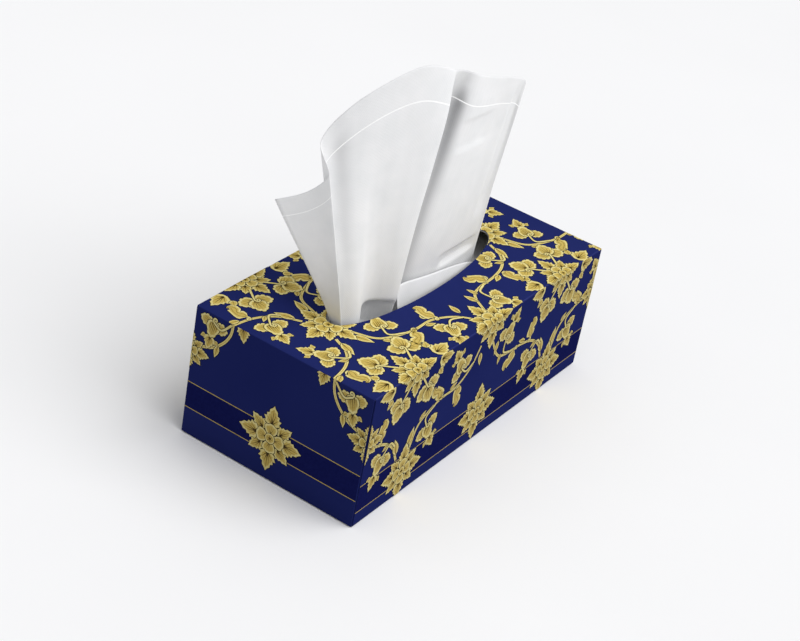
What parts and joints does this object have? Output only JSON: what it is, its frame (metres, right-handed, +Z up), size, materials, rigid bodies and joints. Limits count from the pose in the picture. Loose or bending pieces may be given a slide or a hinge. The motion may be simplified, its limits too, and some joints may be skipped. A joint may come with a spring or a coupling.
{
  "type": "tissue box",
  "caption": "Rectangular printed carton of facial tissues with an oval opening in its top, one sheet pulled up through the opening and the next sheet following it.",
  "frame": {"origin": "centre of the base", "axes": "+X along the length, +Y across the width towards the back panel, +Z up; the front long panel faces -Y"},
  "size_m": [0.2302, 0.115, 0.2238],
  "materials": {
    "carton": "satin",
    "gold_print": "satin",
    "tissue": "matte"
  },
  "bodies": {
    "root": {"carton": "carton", "gold_print": "gold_print", "tissue_stack": "tissue", "pulled_tissue": "tissue", "next_tissue": "tissue"}
  },
  "joints": []
}
